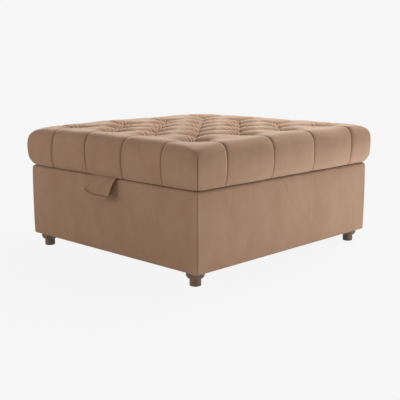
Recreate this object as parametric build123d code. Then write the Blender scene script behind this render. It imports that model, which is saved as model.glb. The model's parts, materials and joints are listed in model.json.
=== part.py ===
from build123d import *
import os
from math import asin, cos, hypot, radians, sin, sqrt

# A square upholstered footstool with a tufted lid over a storage box.
# Lengths are in millimetres. X runs to the right along the front, Y to the back and Z up.
# The origin is on the floor, midway between the widest points of the whole object.

# Overall sizes
box_width = 864.0
box_depth = 922.0
foot_height = 46.0
box_height = 261.0  # underside of the box to its rim
parting_gap = 4.0  # rim of the box to the underside of the lid
lid_height = 141.0  # underside of the lid to its crown
lid_overhang = 17.0  # fullest part of the lid past the box
overrun = 5.0  # how far a cutter runs past what it cuts

# Box walls, from the outside in
cover_thickness = 3.0
panel_thickness = 18.0
lining_thickness = 1.5
turn_thickness = 2.0  # cover folded under the panels
dust_thickness = 1.0
dust_inset = 14.0  # edge of the dust cover from the outside of the box
box_corner_radius = 6.0
box_rim_radius = 12.0

# Floor of the box
board_thickness = 9.0
board_clearance = 0.5
corner_block_side = 70.0
corner_block_height = 35.0
batten_width = 20.0

# Feet
foot_inset_x = 45.0  # centre of a foot from the side of the box
foot_inset_y = 37.0  # centre of a foot from the front or back of the box
collar_radius = 30.0
collar_band = 5.0
bowl_height = 17.0  # rounded part between collar and shaft
bowl_fullness = 3.4  # how far the rounding stands out from a straight taper
neck_step = 1.2
shaft_radius = 18.5
toe_radius = 2.0
glide_radius = 14.0
glide_thickness = 5.0
glide_proud = 1.0
foot_bolt_radius = 4.0
foot_bolt_depth = 28.0  # length of bolt inside the foot
tee_flange_radius = 10.0
tee_flange_thickness = 1.5
tee_barrel_radius = 5.2
tee_barrel_length = 14.0
bolt_clearance = 0.1

# Staples
staple_wire = 0.8
staple_crown = 10.0
staple_leg = 6.0
staple_inset = 17.0  # dust cover staples from the outside of the box
dust_staple_shares = (-0.3, -0.1, 0.1, 0.3)  # along each side of the box
lid_staple_shares = (-0.38, -0.13, 0.13, 0.38)  # clear of the stay brackets

# Hinges
hinge_inset = 3.0  # hinge axis from the back of the box
hinge_setback = 172.0  # middle of a hinge from the side of the box
hinge_width = 100.0
hinge_knuckles = 5
knuckle_radius = 4.0
knuckle_gap = 0.3
leaf_thickness = 1.5
leaf_reach = 19.0  # hinge axis to the far edge of a leaf
hinge_pin_radius = 2.0
hinge_pin_clearance = 0.05
leaf_screw_inset = 5.0  # screw line from the far edge of a leaf
box_screw_spacing = 35.0
lid_screw_spacing = 52.0

# Screws
screw_radius = 1.75
screw_head_radius = 3.3
screw_length = 14.0
screw_clearance = 0.1

# Lid stays
stay_arm_length = 190.0  # hinge axis to pivot, and pivot to slider
stay_rail_slope = 16.0  # degrees below level, towards the front
stay_rest_angle = 8.0  # degrees between the rail and the pivot when shut
lid_opening = 70.0  # degrees
rail_stand_off = 6.0
rail_thickness = 2.0
rail_height = 16.0
rail_slot_width = 6.6
rail_end_gap = 0.6  # slot end to slider at either limit
spacer_radius = 6.0
spacer_gap = 9.0  # slot end to the centre of a spacer
rail_screw_length = 22.0
pan_head_radius = 3.8
pan_head_height = 1.2
arm_thickness = 3.0
arm_width = 12.0
side_gap = 0.5
slider_radius = 3.0
slider_head_radius = 5.0
slider_head_thickness = 1.5
slider_button_thickness = 3.0
pivot_radius = 3.0
pivot_clearance = 0.05
bracket_thickness = 2.0
bracket_length = 44.0
bracket_flange = 19.0
bracket_eye_radius = 9.0
bracket_screw_inset = 6.5

# Lid
lid_board_inset = 13.0
lid_board_thickness = 15.0
underlining_thickness = 1.0
underlining_inset = 2.0
bumper_radius = 5.0
bumper_clearance = 0.3
bumper_setback = 80.0  # bumper centre from the front or back of the box
lid_staple_inset = 8.0  # from the edge of the underlining
clip_radius = 6.0
clip_thickness = 1.2
clip_clearance = 0.2
twine_radius = 0.75
twine_clearance = 0.5
button_radius = 10.5
button_height = 5.0

# Upholstered form of the lid
tuft_rows = 4
edge_panel_x = 136.0  # last seam of the front or back from the side of the box
edge_panel_y = 130.0  # last seam of a side from the front or back of the box
lid_corner_radius = 16.0
panel_crown = 6.0  # how far each side panel swells between its seams
padding_thickness = 12.0  # foam to the floor of a dip
dip_depth = 48.0
dip_floor_radius = 11.0
dip_mouth_radius = 38.0
dip_mouth_depth = 12.0
groove_depth = 22.0
groove_reach = 66.0  # from the seam to the crown on either side of it
# Height, overhang and panel swell of the outline, as shares of lid_height,
# lid_overhang and panel_crown, from the underside to the crown.
lid_profile_shares = (
    (0.0, -0.55, 0.15),
    (0.08, 0.0, 0.4),
    (0.25, 0.75, 0.8),
    (0.46, 1.0, 1.0),
    (0.68, 0.75, 1.0),
    (0.86, -0.3, 1.0),
    (0.95, -1.2, 1.0),
    (1.0, -2.4, 1.0),
)

# Pull tab, hanging from the front edge of the lid
tab_width = 120.0
tab_thickness = 2.4
tab_gap = 0.3  # tab to its anchor
tab_anchor_length = 40.0
tab_setback = 1.0  # tab hinge line behind the front of the box
tab_hem_height = 12.0
tab_hem_thickness = 3.6
tab_bend_radius = 25.0
# Turns of the tab in front of the box and below its rim.
tab_knee_reach = 15.0
tab_knee_drop = 17.0
tab_waist_reach = 33.0
tab_waist_drop = 52.0
tab_hem_reach = 45.0
tab_hem_drop = 67.0

# Levels and places that follow from the sizes
rim_z = foot_height + box_height
lid_z = rim_z + parting_gap
crown_z = lid_z + lid_height
dust_top_z = foot_height + dust_thickness
panel_foot_z = dust_top_z + turn_thickness
panel_top_z = rim_z - cover_thickness
floor_z = dust_top_z + corner_block_height
wall_thickness = cover_thickness + panel_thickness + lining_thickness
carcass_width = box_width - 2 * cover_thickness
carcass_depth = box_depth - 2 * cover_thickness
inner_width = carcass_width - 2 * panel_thickness
inner_depth = carcass_depth - 2 * panel_thickness
store_width = box_width - 2 * wall_thickness
store_depth = box_depth - 2 * wall_thickness
hinge_y = box_depth / 2 - hinge_inset
hinge_z = rim_z + parting_gap / 2
hinge_x = box_width / 2 - hinge_setback
tuft_pitch_x = (box_width - 2 * edge_panel_x) / (tuft_rows - 1)
tuft_pitch_y = (box_depth - 2 * edge_panel_y) / (tuft_rows - 1)
lid_board_z = lid_z + underlining_thickness
foam_z = lid_board_z + lid_board_thickness
dip_floor_z = crown_z - dip_depth
foam_top_z = dip_floor_z - padding_thickness
middle_y = (tab_hem_reach + tab_hem_thickness / 2 - lid_overhang - panel_crown) / 2


def block(width, depth, low, high):
    """An upright block centred on the box."""
    return Pos(0, 0, (low + high) / 2) * Box(width, depth, high - low)


def rounded_block(width, depth, low, high, corner, rim):
    body = block(width, depth, low, high)
    body = fillet(body.edges().filter_by(Axis.Z), corner)
    return fillet(body.edges().group_by(Axis.Z)[-1], rim)


def upright(radius, x, y, low, high):
    return Pos(x, y, (low + high) / 2) * Cylinder(radius, high - low)


def crosswise(radius, y, z, low, high):
    """A cylinder along X, between two places in X."""
    return Pos((low + high) / 2, y, z) * Rot(0, 90, 0) * Cylinder(radius, high - low)


def both_sides(solids):
    return solids + [mirror(solid, about=Plane.YZ) for solid in solids]


def corner_places(x, y):
    return [(sx * x, sy * y) for sx in (-1, 1) for sy in (-1, 1)]


def staple(x, y, level, along_x):
    """A staple driven upwards, its crown lying just under level."""
    crown = Pos(0, 0, -staple_wire / 2) * Box(staple_crown, staple_wire, staple_wire)
    reach = (staple_crown - staple_wire) / 2
    leg = Pos(0, 0, staple_leg / 2) * Box(staple_wire, staple_wire, staple_leg)
    turn = 0 if along_x else 90
    legs = Pos(-reach, 0, 0) * leg + Pos(reach, 0, 0) * leg
    return Pos(x, y, level) * Rot(0, 0, turn) * (crown + legs)


def edge_staples(shares, inset, level):
    """Staples along the four sides of the box, inset from its outside."""
    x, y = box_width / 2 - inset, box_depth / 2 - inset
    found = []
    for share in shares:
        found += [staple(share * box_width, side * y, level, True) for side in (-1, 1)]
        found += [staple(side * x, share * box_depth, level, False) for side in (-1, 1)]
    return found


def countersunk_screw(x, y, z, up, spare=0.0):
    """A flat head at z, with its point below it, or above it where up is true."""
    length = screw_length + spare
    shank = Pos(0, 0, -length / 2) * Cylinder(screw_radius + spare, length)
    head_height = leaf_thickness
    head = Pos(0, 0, -head_height / 2) * Cone(screw_radius + spare, screw_head_radius + spare, head_height)
    turn = 180 if up else 0
    return Pos(x, y, z) * Rot(turn, 0, 0) * (shank + head)


# Box walls and their covers


def side_strips(width, depth, low, high):
    """Four wedges, one on each side of the box, meeting on the mitres of its corners."""
    reach = box_corner_radius + wall_thickness + overrun
    strips = {}
    for name, turn, long, deep in (
        ("front", 0, width, depth),
        ("right", 90, depth, width),
        ("back", 180, width, depth),
        ("left", 270, depth, width),
    ):
        x, y = long / 2, deep / 2
        outline = Polyline(
            (-x - overrun, -y - overrun),
            (x + overrun, -y - overrun),
            (x - reach, -y + reach),
            (-x + reach, -y + reach),
            close=True,
        )
        wedge = extrude(make_face(outline), amount=high - low)
        strips[name] = Rot(0, 0, turn) * Pos(0, 0, low) * wedge
    return strips


def make_walls(holes):
    hollow = block(inner_width, inner_depth, dust_top_z - overrun, rim_z + overrun)
    core = rounded_block(
        carcass_width,
        carcass_depth,
        panel_foot_z,
        panel_top_z,
        box_corner_radius - cover_thickness,
        box_rim_radius - cover_thickness,
    )
    skin = rounded_block(box_width, box_depth, dust_top_z, rim_z, box_corner_radius, box_rim_radius)
    skin = skin - core
    skin = skin - block(inner_width, inner_depth, dust_top_z - overrun, panel_top_z)
    skin = skin - block(store_width, store_depth, panel_top_z, rim_z + overrun)
    ring = core - hollow
    pieces = {}
    for name, wedge in side_strips(box_width, box_depth, foot_height, rim_z + overrun).items():
        pieces[name + "_cover"] = (skin & wedge) - holes
    for name, side in (("front", -1), ("back", 1)):
        slab_y = side * (inner_depth / 2 + panel_thickness)
        slab = Pos(0, slab_y, 0) * block(box_width, 2 * panel_thickness, foot_height, rim_z)
        pieces[name + "_panel"] = (ring & slab) - holes
    for name, side in (("left", -1), ("right", 1)):
        slab_x = side * (inner_width / 2 + panel_thickness)
        slab = Pos(slab_x, 0, 0) * block(2 * panel_thickness, inner_depth, foot_height, rim_z)
        pieces[name + "_panel"] = (ring & slab) - holes
    return pieces


def make_floor(staples, bolt_holes):
    board_gap = 2 * board_clearance
    lining_floor_z = floor_z + board_thickness
    lining = block(inner_width, inner_depth, lining_floor_z, panel_top_z)
    lining = lining - block(store_width, store_depth, lining_floor_z + lining_thickness, rim_z)
    dust = block(box_width - 2 * dust_inset, box_depth - 2 * dust_inset, foot_height, dust_top_z)
    battens = []
    long_x = inner_width - 2 * corner_block_side
    long_y = inner_depth - 2 * corner_block_side
    for side in (-1, 1):
        y = side * (inner_depth - batten_width) / 2
        x = side * (inner_width - batten_width) / 2
        battens.append(Pos(0, y, 0) * block(long_x, batten_width, panel_foot_z, floor_z))
        battens.append(Pos(x, 0, 0) * block(batten_width, long_y, panel_foot_z, floor_z))
    blocks = []
    for x, y in corner_places(
        (inner_width - corner_block_side) / 2,
        (inner_depth - corner_block_side) / 2,
    ):
        corner = Pos(x, y, 0) * block(corner_block_side, corner_block_side, dust_top_z, floor_z)
        blocks.append(corner - bolt_holes)
    return {
        "bottom_board": block(inner_width - board_gap, inner_depth - board_gap, floor_z, lining_floor_z),
        "storage_lining": lining,
        "dust_cover": dust - staples - bolt_holes,
        "bottom_battens": Compound(battens),
        "corner_blocks": Compound(blocks),
    }


# Feet


def foot_profile():
    """Half of a turned foot: a banded collar, a rounded bowl and a straight shaft."""
    sole = glide_proud
    band_z = foot_height - collar_band
    neck_z = band_z - bowl_height
    neck_x = shaft_radius + neck_step
    slant = hypot(collar_radius - neck_x, bowl_height)
    middle = ((collar_radius + neck_x) / 2, (band_z + neck_z) / 2)
    swell = (bowl_fullness * bowl_height / slant, -bowl_fullness * (collar_radius - neck_x) / slant)
    toe_middle = toe_radius * (1 - sqrt(0.5))
    return make_face(
        Polyline((0, foot_height), (0, sole), (shaft_radius - toe_radius, sole))
        + ThreePointArc(
            (shaft_radius - toe_radius, sole),
            (shaft_radius - toe_middle, sole + toe_middle),
            (shaft_radius, sole + toe_radius),
        )
        + Polyline((shaft_radius, sole + toe_radius), (shaft_radius, neck_z), (neck_x, neck_z))
        + ThreePointArc(
            (neck_x, neck_z),
            (middle[0] + swell[0], middle[1] + swell[1]),
            (collar_radius, band_z),
        )
        + Polyline((collar_radius, band_z), (collar_radius, foot_height), (0, foot_height))
    )


def foot_places():
    return corner_places(box_width / 2 - foot_inset_x, box_depth / 2 - foot_inset_y)


def foot_bolt(x, y, spare=0.0):
    top = floor_z - tee_flange_thickness
    return upright(foot_bolt_radius + spare, x, y, foot_height - foot_bolt_depth - spare, top)


def tee_nut(x, y, spare=0.0):
    barrel_low = floor_z - tee_flange_thickness - tee_barrel_length
    barrel = upright(tee_barrel_radius + spare, x, y, barrel_low - spare, floor_z)
    flange_low = floor_z - tee_flange_thickness
    flange = upright(tee_flange_radius + spare, x, y, flange_low, floor_z)
    return barrel + flange


def make_feet():
    turned = revolve(Plane.XZ * foot_profile(), Axis.Z)
    turned = turned - upright(glide_radius + bolt_clearance, 0, 0, 0, glide_thickness)
    pieces, glides, bolts, nuts = {}, [], [], []
    for x, y in foot_places():
        name = "foot_" + ("front" if y < 0 else "back") + ("_left" if x < 0 else "_right")
        pieces[name] = (Pos(x, y, 0) * turned) - foot_bolt(x, y, bolt_clearance)
        glides.append(upright(glide_radius, x, y, 0, glide_thickness))
        bolts.append(foot_bolt(x, y))
        nuts.append(tee_nut(x, y) - foot_bolt(x, y, bolt_clearance))
    pieces["foot_glides"] = Compound(glides)
    pieces["foot_bolts"] = Compound(bolts)
    pieces["tee_nuts"] = Compound(nuts)
    return pieces


# Hinges


def hinge_leaf(x, low, fixed_to_box):
    """A plate with its share of the knuckles, bored for the pin."""
    plate_edge = hinge_y - leaf_reach
    plate_depth = leaf_reach - hinge_pin_radius
    plate = Pos(x, plate_edge + plate_depth / 2, low + leaf_thickness / 2) * Box(
        hinge_width, plate_depth, leaf_thickness
    )
    pitch = hinge_width / hinge_knuckles
    first = 0 if fixed_to_box else 1
    notches, knuckles = [], []
    notch_radius = knuckle_radius + knuckle_gap
    for place in range(hinge_knuckles):
        left = x - hinge_width / 2 + place * pitch
        right = left + pitch
        gap = knuckle_gap / 2
        if place % 2 == first:
            knuckles.append(crosswise(knuckle_radius, hinge_y, hinge_z, left + gap, right - gap))
        else:
            notches.append(crosswise(notch_radius, hinge_y, hinge_z, left - gap, right + gap))
    bore = crosswise(
        hinge_pin_radius + hinge_pin_clearance,
        hinge_y,
        hinge_z,
        x - hinge_width / 2 - overrun,
        x + hinge_width / 2 + overrun,
    )
    return (plate - notches) + knuckles - bore


def leaf_screws(places, z, up, spare=0.0):
    """Screws at these places along each hinge leaf, measured from its middle."""
    y = hinge_y - leaf_reach + leaf_screw_inset
    return [
        countersunk_screw(side * hinge_x + place, y, z, up, spare) for side in (-1, 1) for place in places
    ]


def box_leaf_screws(spare=0.0):
    places = (-box_screw_spacing, 0.0, box_screw_spacing)
    return leaf_screws(places, rim_z + leaf_thickness, False, spare)


def lid_leaf_screws(spare=0.0):
    places = (-lid_screw_spacing / 2, lid_screw_spacing / 2)
    return leaf_screws(places, lid_z - leaf_thickness, True, spare)


def make_hinges():
    pieces = {
        "hinge_box_screws": Compound(box_leaf_screws()),
        "hinge_lid_screws": Compound(lid_leaf_screws()),
    }
    for side, name in ((-1, "left"), (1, "right")):
        x = side * hinge_x
        box_leaf = hinge_leaf(x, rim_z, True) - box_leaf_screws(screw_clearance)
        lid_leaf = hinge_leaf(x, lid_z - leaf_thickness, False) - lid_leaf_screws(screw_clearance)
        pieces["hinge_box_leaf_" + name] = box_leaf
        pieces["hinge_lid_leaf_" + name] = lid_leaf
        pieces["hinge_pin_" + name] = crosswise(
            hinge_pin_radius, hinge_y, hinge_z, x - hinge_width / 2, x + hinge_width / 2
        )
    return pieces


# Lid stays. Each is an arm between a bracket on the lid and a slotted rail on the box.
# The rail points at the hinge axis, and the arm is as long as its pivot is far from
# that axis, so the slider stays in the slot while the arm turns twice as far as the lid.


def rail_outer_x():
    return store_width / 2 - rail_stand_off


def arm_outer_x():
    return rail_outer_x() - rail_thickness - side_gap


def bracket_inner_x():
    return arm_outer_x() - arm_thickness - side_gap - bracket_thickness


def on_slope(angle, distance):
    """The Y and Z of a point in front of the hinge axis, at an angle below level."""
    return (
        hinge_y - distance * cos(radians(angle)),
        hinge_z - distance * sin(radians(angle)),
    )


def slider_distance(opening):
    return 2 * stay_arm_length * cos(radians(stay_rest_angle + opening))


def stadium(start, end, width, outer_x, thickness):
    """A flat bar with round ends between two points in Y and Z."""
    run = hypot(end[0] - start[0], end[1] - start[1])
    plane = Plane(
        origin=(outer_x, (start[0] + end[0]) / 2, (start[1] + end[1]) / 2),
        x_dir=(0, end[0] - start[0], end[1] - start[1]),
        z_dir=(-1, 0, 0),
    )
    return extrude(plane * SlotCenterToCenter(run, width), amount=thickness)


def pivot_place():
    return on_slope(stay_rail_slope - stay_rest_angle, stay_arm_length)


def spacer_places():
    slot_back = slider_distance(lid_opening) - slider_radius - rail_end_gap
    slot_front = slider_distance(0) + slider_radius + rail_end_gap
    return [
        on_slope(stay_rail_slope, slot_back - spacer_gap),
        on_slope(stay_rail_slope, slot_front + spacer_gap),
    ]


def rail_screws(spare=0.0):
    inner = rail_outer_x() - rail_thickness
    found = []
    for y, z in spacer_places():
        shank = crosswise(screw_radius + spare, y, z, inner, inner + rail_screw_length + spare)
        head = crosswise(pan_head_radius, y, z, inner - pan_head_height, inner)
        found.append(shank if spare else shank + head)
    return both_sides(found)


def bracket_screws(spare=0.0):
    y = pivot_place()[0]
    x = bracket_inner_x() + bracket_flange - bracket_screw_inset
    reach = bracket_length / 2 - bracket_screw_inset
    flange_z = lid_z - bracket_thickness
    return both_sides([countersunk_screw(x, y + side * reach, flange_z, True, spare) for side in (-1, 1)])


def make_rail():
    outer = rail_outer_x()
    spacers = spacer_places()
    bar = stadium(spacers[0], spacers[1], rail_height, outer, rail_thickness)
    slot_start = on_slope(stay_rail_slope, slider_distance(lid_opening) - rail_end_gap)
    slot_end = on_slope(stay_rail_slope, slider_distance(0) + rail_end_gap)
    slot = stadium(slot_start, slot_end, rail_slot_width, outer + overrun, rail_thickness + 2 * overrun)
    return bar - slot - rail_screws(screw_clearance)


def make_arm():
    outer = arm_outer_x()
    slider = on_slope(stay_rail_slope, slider_distance(0))
    pivot = pivot_place()
    arm = stadium(pivot, slider, arm_width, outer, arm_thickness)
    low, high = outer - arm_thickness - overrun, outer + overrun
    pivot_hole = crosswise(pivot_radius + pivot_clearance, *pivot, low, high)
    slider_hole = crosswise(slider_radius + screw_clearance, *slider, low, high)
    return arm - pivot_hole - slider_hole


def make_slider():
    """A shouldered pin through the arm and the slot, with its button behind the rail."""
    slider = on_slope(stay_rail_slope, slider_distance(0))
    inner = arm_outer_x() - arm_thickness
    button_low = rail_outer_x() + side_gap
    shank = crosswise(slider_radius, *slider, inner, button_low)
    head = crosswise(slider_head_radius, *slider, inner - slider_head_thickness, inner)
    button = crosswise(slider_head_radius, *slider, button_low, button_low + slider_button_thickness)
    return shank + head + button


def make_bracket():
    """A web with an eye for the pivot, and a flange folded out under the lid board."""
    inner = bracket_inner_x()
    pivot = pivot_place()
    half = bracket_length / 2
    plane = Plane(origin=(inner, 0, 0), x_dir=(0, 1, 0), z_dir=(1, 0, 0))
    web = make_face(
        Polyline(
            (pivot[0] - half, lid_z),
            (pivot[0] + half, lid_z),
            (pivot[0] + bracket_eye_radius, pivot[1]),
            (pivot[0] - bracket_eye_radius, pivot[1]),
            close=True,
        )
    )
    web = extrude(plane * web, amount=bracket_thickness)
    web = web + crosswise(bracket_eye_radius, *pivot, inner, inner + bracket_thickness)
    flange = Pos(inner + bracket_flange / 2, pivot[0], lid_z - bracket_thickness / 2) * Box(
        bracket_flange, bracket_length, bracket_thickness
    )
    low, high = inner - overrun, inner + bracket_thickness + overrun
    hole = crosswise(pivot_radius + screw_clearance, *pivot, low, high)
    return web + flange - hole - bracket_screws(screw_clearance)


def make_rivet():
    pivot = pivot_place()
    inner = bracket_inner_x()
    tail = arm_outer_x() + side_gap
    shank = crosswise(pivot_radius, *pivot, inner, tail)
    head = crosswise(slider_head_radius, *pivot, inner - slider_head_thickness, inner)
    end = crosswise(slider_head_radius, *pivot, tail, tail + slider_head_thickness)
    return shank + head + end


def make_stays():
    spacers = [
        crosswise(spacer_radius, y, z, rail_outer_x(), store_width / 2) for y, z in spacer_places()
    ]
    pieces = {
        "stay_rail_spacers": Compound([tube - rail_screws(screw_clearance) for tube in both_sides(spacers)]),
        "stay_rail_screws": Compound(rail_screws()),
        "stay_bracket_screws": Compound(bracket_screws()),
        "stay_pivot_rivets": Compound(both_sides([make_rivet()])),
    }
    for name, maker in (
        ("stay_rail", make_rail),
        ("stay_arm", make_arm),
        ("stay_slider", make_slider),
        ("stay_bracket", make_bracket),
    ):
        pieces[name + "_right"], pieces[name + "_left"] = both_sides([maker()])
    return pieces


# Lid


def tuft_grid(rows, pitch):
    return [(place - (rows - 1) / 2) * pitch for place in range(rows)]


def outer_tufts():
    """Buttons of the larger grid, whose outer ring carries the seams to the edges."""
    return [(x, y) for x in tuft_grid(tuft_rows, tuft_pitch_x) for y in tuft_grid(tuft_rows, tuft_pitch_y)]


def all_tufts():
    inner = tuft_rows - 1
    return outer_tufts() + [
        (x, y) for x in tuft_grid(inner, tuft_pitch_x) for y in tuft_grid(inner, tuft_pitch_y)
    ]


def lid_outline(height_share, overhang_share, crown_share):
    """One level of the lid: five swelling panels a side and a round corner between sides."""
    z = lid_z + height_share * lid_height
    swell = crown_share * panel_crown
    half_x = box_width / 2 + overhang_share * lid_overhang
    half_y = box_depth / 2 + overhang_share * lid_overhang
    corner_bow = lid_corner_radius * sqrt(0.5)
    edges = []
    for turn, half_u, half_v, pitch in (
        (0, half_x, half_y, tuft_pitch_x),
        (90, half_y, half_x, tuft_pitch_y),
        (180, half_x, half_y, tuft_pitch_x),
        (270, half_y, half_x, tuft_pitch_y),
    ):
        flat_u, flat_v = half_u - lid_corner_radius, half_v - lid_corner_radius
        seams = [-flat_u] + tuft_grid(tuft_rows, pitch) + [flat_u]
        for left, right in zip(seams, seams[1:]):
            middle = ((left + right) / 2, -half_v - swell)
            arc = ThreePointArc((left, -half_v), middle, (right, -half_v))
            edges.append(Pos(0, 0, z) * Rot(0, 0, turn) * arc)
        arc = ThreePointArc(
            (flat_u, -half_v),
            (flat_u + corner_bow, -flat_v - corner_bow),
            (half_u, -flat_v),
        )
        edges.append(Pos(0, 0, z) * Rot(0, 0, turn) * arc)
    return Wire(edges)


def groove_half(side):
    """From the seam to the crown on one side: a quarter arch, as two joined lines."""
    radius = (groove_reach**2 + groove_depth**2) / (2 * groove_depth)
    half_turn = asin(groove_reach / radius) / 2
    middle = (
        side * (groove_reach - radius * sin(half_turn)),
        groove_depth - radius + radius * cos(half_turn),
    )
    crown = (side * groove_reach, groove_depth)
    return ThreePointArc((0, 0), middle, crown) + Line(crown, (crown[0], groove_depth + overrun))


def seam_groove(start, end):
    """The hollow of one straight seam, from one tuft to another or out past an edge."""
    run = hypot(end[0] - start[0], end[1] - start[1])
    along = ((end[0] - start[0]) / run, (end[1] - start[1]) / run, 0)
    top = groove_depth + overrun
    section = make_face(
        groove_half(1) + groove_half(-1) + Line((groove_reach, top), (-groove_reach, top))
    )
    plane = Plane(
        origin=(start[0], start[1], crown_z - groove_depth),
        x_dir=(-along[1], along[0], 0),
        z_dir=along,
    )
    return extrude(plane * section, amount=run)


def tuft_hollow():
    """The round end of the seams at an outer tuft."""
    top = groove_depth + overrun
    section = make_face(groove_half(1) + Polyline((groove_reach, top), (0, top), (0, 0)))
    return Pos(0, 0, crown_z - groove_depth) * revolve(Plane.XZ * section, Axis.Z)


def tuft_dip():
    """The narrow dip that holds a button."""
    height = dip_depth - dip_mouth_depth
    cone = Cone(dip_floor_radius, dip_mouth_radius, height)
    return Pos(0, 0, dip_floor_z + height / 2) * cone


def diagonal_seams():
    """Straight seams that cross the top through both grids of buttons."""
    edge = (tuft_rows - 1) / 2
    found = []
    for slope in (-1, 1):
        for shift in range(2 - tuft_rows, tuft_rows - 1):
            low = max(-edge, shift - edge)
            high = min(edge, shift + edge)
            start = (low * tuft_pitch_x, slope * (low - shift) * tuft_pitch_y)
            end = (high * tuft_pitch_x, slope * (high - shift) * tuft_pitch_y)
            found.append(seam_groove(start, end))
    return found


def edge_seams():
    """Straight seams from the outer ring of buttons to the four edges."""
    out_x = box_width / 2 + lid_overhang + panel_crown + overrun
    out_y = box_depth / 2 + lid_overhang + panel_crown + overrun
    last_x, last_y = tuft_grid(tuft_rows, tuft_pitch_x)[-1], tuft_grid(tuft_rows, tuft_pitch_y)[-1]
    found = []
    for side in (-1, 1):
        for y in tuft_grid(tuft_rows, tuft_pitch_y):
            found.append(seam_groove((side * last_x, y), (side * out_x, y)))
        for x in tuft_grid(tuft_rows, tuft_pitch_x):
            found.append(seam_groove((x, side * last_y), (x, side * out_y)))
    return found


def twine(x, y, spare=0.0):
    return upright(twine_radius + spare, x, y, lid_board_z, dip_floor_z)


def button_profile():
    """Half of a covered button: flat below and part of a ball above."""
    ball = (button_radius**2 + button_height**2) / (2 * button_height)
    half_turn = asin(button_radius / ball) / 2
    dome = (ball * sin(half_turn), button_height - ball + ball * cos(half_turn))
    return make_face(
        Line((0, 0), (button_radius, 0))
        + ThreePointArc((button_radius, 0), dome, (0, button_height))
        + Line((0, button_height), (0, 0))
    )


def make_cushion():
    form = Part() + loft([make_face(lid_outline(*shares)) for shares in lid_profile_shares])
    last_x, last_y = tuft_grid(tuft_rows, tuft_pitch_x)[-1], tuft_grid(tuft_rows, tuft_pitch_y)[-1]
    hollow, dip = tuft_hollow(), tuft_dip()
    ring = [(x, y) for x, y in outer_tufts() if abs(x) == last_x or abs(y) == last_y]
    tools = diagonal_seams() + edge_seams()
    tools += [Pos(x, y, 0) * hollow for x, y in ring]
    tools += [Pos(x, y, 0) * dip for x, y in all_tufts()]
    tools.append(lid_block(lid_board_inset, lid_z - overrun, foam_top_z))
    tools += [upright(twine_radius + twine_clearance, x, y, foam_top_z, dip_floor_z) for x, y in all_tufts()]
    return form - tools


def lid_block(inset, low, high):
    return block(box_width - 2 * inset, box_depth - 2 * inset, low, high)


def lid_staples():
    inset = lid_board_inset + underlining_inset + lid_staple_inset
    edge = edge_staples(lid_staple_shares, inset, lid_z)
    y = tab_pivot()[0] + tab_anchor_length / 2
    anchor = [staple(side * tab_width / 4, y, lid_z - tab_thickness, True) for side in (-1, 1)]
    return edge, anchor


def make_lid():
    edge, anchor = lid_staples()
    leaf_holes = lid_leaf_screws(screw_clearance)
    bracket_holes = bracket_screws(screw_clearance)
    clip_hole = clip_radius + clip_clearance
    board = lid_block(lid_board_inset, lid_board_z, foam_z)
    foam = lid_block(lid_board_inset, foam_z, foam_top_z)
    twine_holes = [twine(x, y, twine_clearance) for x, y in all_tufts()]
    clip_holes = [upright(clip_hole, x, y, lid_board_z, lid_board_z + clip_thickness) for x, y in all_tufts()]
    underlining = lid_block(lid_board_inset + underlining_inset, lid_z, lid_board_z)
    clips = [
        upright(clip_radius, x, y, lid_board_z, lid_board_z + clip_thickness) - twine(x, y, twine_clearance)
        for x, y in all_tufts()
    ]
    button = revolve(Plane.XZ * button_profile(), Axis.Z)
    bumper_x = (store_width / 2 + box_width / 2 - box_rim_radius) / 2
    bumpers = [
        upright(bumper_radius, x, y, rim_z + bumper_clearance, lid_z)
        for x, y in corner_places(bumper_x, box_depth / 2 - bumper_setback)
    ]
    return {
        "lid_board": board - twine_holes - clip_holes - leaf_holes - bracket_holes - edge - anchor,
        "lid_foam": foam - twine_holes,
        "lid_cushion": make_cushion(),
        "lid_underlining": underlining - leaf_holes - bracket_holes - edge - anchor,
        "lid_staples": Compound(edge + anchor),
        "lid_bumpers": Compound(bumpers),
        "top_buttons": Compound([Pos(x, y, dip_floor_z) * button for x, y in all_tufts()]),
        "button_twines": Compound([twine(x, y) for x, y in all_tufts()]),
        "twine_clips": Compound(clips),
    }


# Pull tab


def tab_pivot():
    return (-box_depth / 2 + tab_setback, lid_z - tab_thickness / 2)


def tab_route():
    front_y = -box_depth / 2
    return [
        tab_pivot(),
        (front_y - tab_knee_reach, rim_z - tab_knee_drop),
        (front_y - tab_waist_reach, rim_z - tab_waist_drop),
        (front_y - tab_hem_reach, rim_z - tab_hem_drop),
    ]


def tab_sheet(start, end, thickness):
    run = hypot(end[0] - start[0], end[1] - start[1])
    across = ((end[0] + start[0]) / 2, (end[1] + start[1]) / 2)
    plane = Plane(
        origin=(0, *across),
        x_dir=(0, (end[0] - start[0]) / run, (end[1] - start[1]) / run),
        z_dir=(1, 0, 0),
    )
    return extrude(plane * Rectangle(run, thickness), amount=tab_width / 2, both=True)


def make_tab():
    """A folded strip of the cover fabric, its lower edge turned up into a hem."""
    route = tab_route()
    path = FilletPolyline(*[(0, y, z) for y, z in route], radius=tab_bend_radius)
    start = Plane(origin=path @ 0, x_dir=(1, 0, 0), z_dir=path % 0)
    sheet = sweep(start * Rectangle(tab_width, tab_thickness), path=path)
    roll = crosswise(tab_thickness / 2, *route[0], -tab_width / 2, tab_width / 2)
    last, end = route[-2], route[-1]
    share = tab_hem_height / hypot(end[0] - last[0], end[1] - last[1])
    hem_start = (end[0] + (last[0] - end[0]) * share, end[1] + (last[1] - end[1]) * share)
    return sheet + roll + tab_sheet(hem_start, end, tab_hem_thickness)


def make_anchor(staples):
    pivot_y = tab_pivot()[0]
    low_y = pivot_y + tab_thickness / 2 + tab_gap
    high_y = pivot_y + tab_anchor_length
    strip = Pos(0, (low_y + high_y) / 2, lid_z - tab_thickness / 2) * Box(
        tab_width, high_y - low_y, tab_thickness
    )
    return strip - staples


# Whole object


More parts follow.
